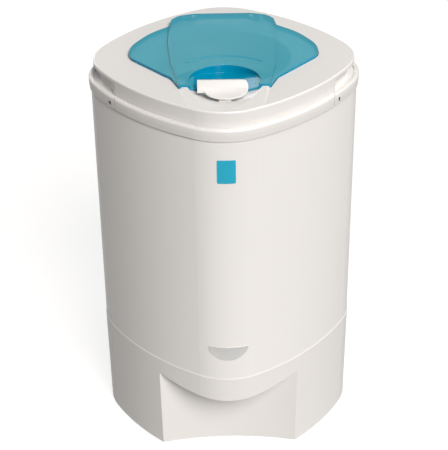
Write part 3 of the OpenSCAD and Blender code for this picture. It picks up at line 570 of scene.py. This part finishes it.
latch = side_slab("latch_lever", latch_side)
join_shapes(latch, plan_slab("latch_plan", latch_plan), "INTERSECT")
print("latch:", [round(v / MM, 1) for v in latch.dimensions], "mm")

# %% [markdown]
# The tongue's top is sunk a little inside a raised rim. The dish that is taken away is made the
# same way as the tongue: its plan is the tongue's own arc, drawn in towards the middle.

# %% Sink the tongue's top
dish_y, draw_x, draw_y = -134, 0.92, 0.91
dish_side = [(-136.5, 653), (-140.5, 650.1), (-146, 647.6), (-156.6, 644.7), (-156.6, 665),
             (-136.5, 665)]
drawn_in = [(tongue_x + (x - tongue_x) * draw_x, dish_y + (y - dish_y) * draw_y)
            for x, y in tongue_arc]
dish = side_slab("latch_dish", dish_side)
join_shapes(dish, plan_slab("dish_plan", [(-28, -130)] + drawn_in + [(31, -130)]), "INTERSECT")
join_shapes(latch, dish, "DIFFERENCE")
round_edges(latch, 0.55, 3, 24)
print("dish taken from", len(latch.data.polygons), "faces")

# %% [markdown]
# The arm goes down below the deck, to the switch and the brake cable. A knuckle on it takes the
# pin, and the bore for the pin is cut last, through all of it.

# %% Add the latch's arm
pin_y, pin_z, knuckle_r, bore_r, arm_half = -152.5, 636.5, 3, 1.56, 9
arm_side = [(-155, 636.5), (-155, 641.4), (-141.5, 647.5), (-141.5, 644), (-149.5, 635.5),
            (-149.5, 633.5), (-150.5, 630.5), (-150.5, 606), (-155.5, 606), (-155.5, 636.5)]
arm = side_slab("latch_arm", arm_side, arm_half)
knuckle = rod_along_x("latch_knuckle", knuckle_r, -arm_half, arm_half, pin_y, pin_z)
join_shapes(arm, knuckle, "UNION")
round_edges(arm, 0.4, 2)
join_shapes(latch, arm, "UNION")
join_shapes(latch, rod_along_x("latch_bore", bore_r, -20, 20, pin_y, pin_z), "DIFFERENCE")
finish_piece(latch, "white_plastic", body_of_node("latch_handle"), "latch_handle")

# %% [markdown]
# ## The rib of the lid
# Behind the finger pocket the lid has a low curved rib that stiffens it and catches the light. Its
# small section is spun about an upright axis in front of the lid, over the angle that it spans.
# The section is turned to its start first. In a script the rotate tool turns the other way than
# the sign suggests, and spin goes clockwise, so the prints show where the rib ends up.

# %% Spin the rib
rib_axis = (0, -103 * MM, 0)
rib_r, rib_z, rib_half_width, rib_half_height = 84, 650.9, 1.7, 0.8
rib_start, rib_spread, rib_steps = math.radians(-133), math.radians(86), 44
clear_selection()
bpy.ops.mesh.primitive_circle_add(vertices=16, radius=1, fill_type="NGON",
                                  rotation=(math.pi / 2, 0, 0))
rib = bpy.context.active_object
rib.name = "lid_rib"
settle(rib)
for vertex in rib.data.vertices:
    vertex.co = Vector((vertex.co.x * rib_half_width + rib_r, 0,
                        vertex.co.z * rib_half_height + rib_z)) * MM
open_edit(rib)
bpy.ops.transform.translate(value=rib_axis)
bpy.ops.transform.rotate(value=rib_start, orient_axis="Z", center_override=rib_axis)
bpy.ops.mesh.spin(steps=rib_steps, angle=rib_spread, center=rib_axis, axis=(0, 0, 1))
close_edit()
print("rib spans", [round(v / MM, 1) for v in rib.dimensions])
finish_piece(rib, "clear_blue", body_of_node("lid"))

# %% [markdown]
# ## The two springs
# A coil spring is a wire bent round a cylinder. One circle, the wire's section, is swept by the
# Screw modifier, which turns and lifts it, and the two open ends are closed with a face. The drawn
# solid is only a sleeve that keeps the room for it, so the coil fills the sleeve's length with as
# many whole turns as fit.

# %% Wind the springs
closest_pitch, steps_a_turn = 2.9, 28


def coil(name, axis, mean, wire, low, high):
    length = high[axis] - low[axis]
    turns = int((length / MM - 2 * wire) / (closest_pitch * wire))
    pitch = (length - 2 * wire * MM) / turns
    clear_selection()
    bpy.ops.mesh.primitive_circle_add(vertices=12, radius=wire * MM, location=(mean * MM, 0, 0),
                                      rotation=(math.pi / 2, 0, 0))
    piece = bpy.context.active_object
    piece.name = name
    settle(piece)
    modify(piece, "SCREW", axis="Z", iterations=turns, screw_offset=pitch, steps=steps_a_turn,
           render_steps=steps_a_turn, use_merge_vertices=True)
    open_edit(piece)
    bpy.ops.mesh.select_all(action="DESELECT")
    bpy.ops.mesh.select_mode(type="EDGE")
    bpy.ops.mesh.select_non_manifold()
    bpy.ops.mesh.fill_holes(sides=0)
    close_edit()
    if axis == 0:
        piece.rotation_euler = (0, math.pi / 2, 0)
    start = (low + high) / 2
    start[axis] = low[axis] + wire * MM
    piece.location = start
    print(name, "has", turns, "turns of", round(pitch / MM, 2), "mm")
    return piece


for name, node, axis, mean, wire in (("latch_coil", "latch_spring", 0, 2.25, 0.5),
                                     ("brake_coil", "brake_spring", 2, 4.1, 0.85)):
    low, high = [Vector(corner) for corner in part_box(node)]
    finish_piece(coil(name, axis, mean, wire, low, high), "spring_steel", body_of_node(node), node)

# %% [markdown]
# ## The body's screws
# Four pan-head screws hold the body to the mouldings at the two rear sides. One is made from two
# cylinders: the head's rim is rounded by a wide bevel and a cross is cut into it, and the shank is
# joined on.

# %% Make one screw
head_r, head_height, dome = 3.6, 2, 1.3
cross_size, cross_z = (3.4, 0.8, 2.2), 1.9
shank_r, shank_length, shank_z = 1.8, 9.4, -4.3


def add_cylinder(name, sides, radius, length, middle_z):
    clear_selection()
    bpy.ops.mesh.primitive_cylinder_add(vertices=sides, radius=radius * MM, depth=length * MM,
                                        location=(0, 0, middle_z * MM))
    piece = bpy.context.active_object
    piece.name = name
    settle(piece)
    return piece


first = add_cylinder("body_screw_1", 40, head_r, head_height, head_height / 2)
round_edges(first, dome, 5, 60)
for angle in (0, 90):
    clear_selection()
    bpy.ops.mesh.primitive_cube_add(
        size=1, location=(0, 0, cross_z * MM), rotation=(0, 0, math.radians(angle)),
        scale=[side * MM for side in cross_size])
    join_shapes(first, bpy.context.active_object, "DIFFERENCE")
shank = add_cylinder("screw_shank", 24, shank_r, shank_length, shank_z)
round_edges(shank, 0.5, 2, 60)
join_shapes(first, shank, "UNION")
print("screw:", len(first.data.polygons), "faces")

# %% [markdown]
# The others are copies with a mesh of their own. Two stand above each other on either rear side,
# and each is turned so that it points out of the side that it holds.

# %% Copy the screw and place all four
side_from_middle = 0.185
screw_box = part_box("body_screws")
screw_levels = (screw_box[0][2] + head_r * MM, screw_box[1][2] - head_r * MM)
screws = [first]
for number in range(2, 5):
    screw = first.copy()
    screw.data = first.data.copy()
    screw.name = "body_screw_%d" % number
    bpy.context.scene.collection.objects.link(screw)
    screws.append(screw)
for number, screw in enumerate(screws):
    bearing = math.radians((45, 135)[number % 2])
    outward = Vector((math.cos(bearing), math.sin(bearing), 0))
    screw.rotation_euler = outward.to_track_quat("Z", "Y").to_euler()
    screw.location = outward * side_from_middle + Vector((0, 0, screw_levels[number // 2]))
    finish_piece(screw, "bright_steel", body_of_node("body_screws"), "body_screws")

# %% [markdown]
# ## The badge and the label
# Both follow the round front corner of the body. A flat outline is cut into upright strips with
# bisect, its points are moved onto the corner's cylinder, and a Solidify modifier gives the plate
# its thickness. Both are blank.

# %% Wrap thin plates onto the front corner
CORNER_Y, CORNER_R = -111.37, 95.0
stand_off, strips = 0.12, 15


def wrapped_plate(name, outline, thickness):
    plate = flat_outline(name, [(x, 0, z) for x, z in outline])
    reach = max(x for x, z in outline)
    open_edit(plate)
    for step in range(-strips, strips + 1):
        bpy.ops.mesh.select_all(action="SELECT")
        cut = (reach * step / (strips + 0.5) * MM, 0, 0)
        bpy.ops.mesh.bisect(plane_co=cut, plane_no=(1, 0, 0))
    bpy.ops.mesh.select_all(action="SELECT")
    bpy.ops.mesh.remove_doubles(threshold=0.02 * MM)
    bpy.ops.object.mode_set(mode="OBJECT")
    for vertex in plate.data.vertices:
        out = math.sqrt((CORNER_R + stand_off) ** 2 - (vertex.co.x / MM) ** 2)
        vertex.co.y = (CORNER_Y - out) * MM
    open_edit(plate)
    close_edit()
    if plate.data.polygons[0].normal.y > 0:
        open_edit(plate)
        bpy.ops.mesh.flip_normals()
        bpy.ops.object.mode_set(mode="OBJECT")
    modify(plate, "SOLIDIFY", thickness=thickness * MM, offset=1)
    return plate


# %% [markdown]
# The badge is a thin pressed plate with a straight top and a bowed foot. The bow is part of a
# circle through the two top ends and the lowest point, and the face is sunk inside a rim.

# %% Make the badge
badge_low, badge_high = [Vector(corner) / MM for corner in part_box("badge_plate")]
badge_half, badge_top = badge_high.x, badge_high.z - 1.8
bow_drop = (badge_top - badge_low.z) * 0.8
badge_r = (badge_half ** 2 + bow_drop ** 2) / (2 * bow_drop)
swing = math.degrees(math.asin(min(badge_half / badge_r, 1)))
bow = arc_points((0, badge_low.z + badge_r), (badge_r, badge_r), -90 - swing, -90 + swing, 30)
badge = wrapped_plate("badge_blank", [(badge_half, badge_top), (-badge_half, badge_top)] + bow,
                      0.75)


def on_the_face(middle, normal):
    from_axis = Vector((middle.x, middle.y - CORNER_Y)).length
    return from_axis > CORNER_R + 0.8 and abs(normal.z) < 0.5


pick_faces(badge, on_the_face)
bpy.ops.mesh.inset(thickness=1.1 * MM, depth=-0.3 * MM)
close_edit()
round_edges(badge, 0.12, 2, 40)
finish_piece(badge, "silver_badge", body_of_node("badge_plate"), "badge_plate")

# %% [markdown]
# The label is a printed film, so it is only a thin patch with rounded corners. Its outline goes
# round the four corners, a quarter of a circle at each.

# %% Make the label
low, high = [Vector(corner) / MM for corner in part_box("round_label")]
turn_in = 2.0
left, right = low.x + turn_in, high.x - turn_in
foot, top = low.z + turn_in, high.z - turn_in
label_outline = []
for centre, start in (((right, top), 0), ((left, top), 90), ((left, foot), 180),
                      ((right, foot), 270)):
    label_outline += arc_points(centre, (turn_in, turn_in), start, start + 90, 6)
label = wrapped_plate("blank_label", label_outline, 0.25)
finish_piece(label, "blue_label", body_of_node("round_label"), "round_label")
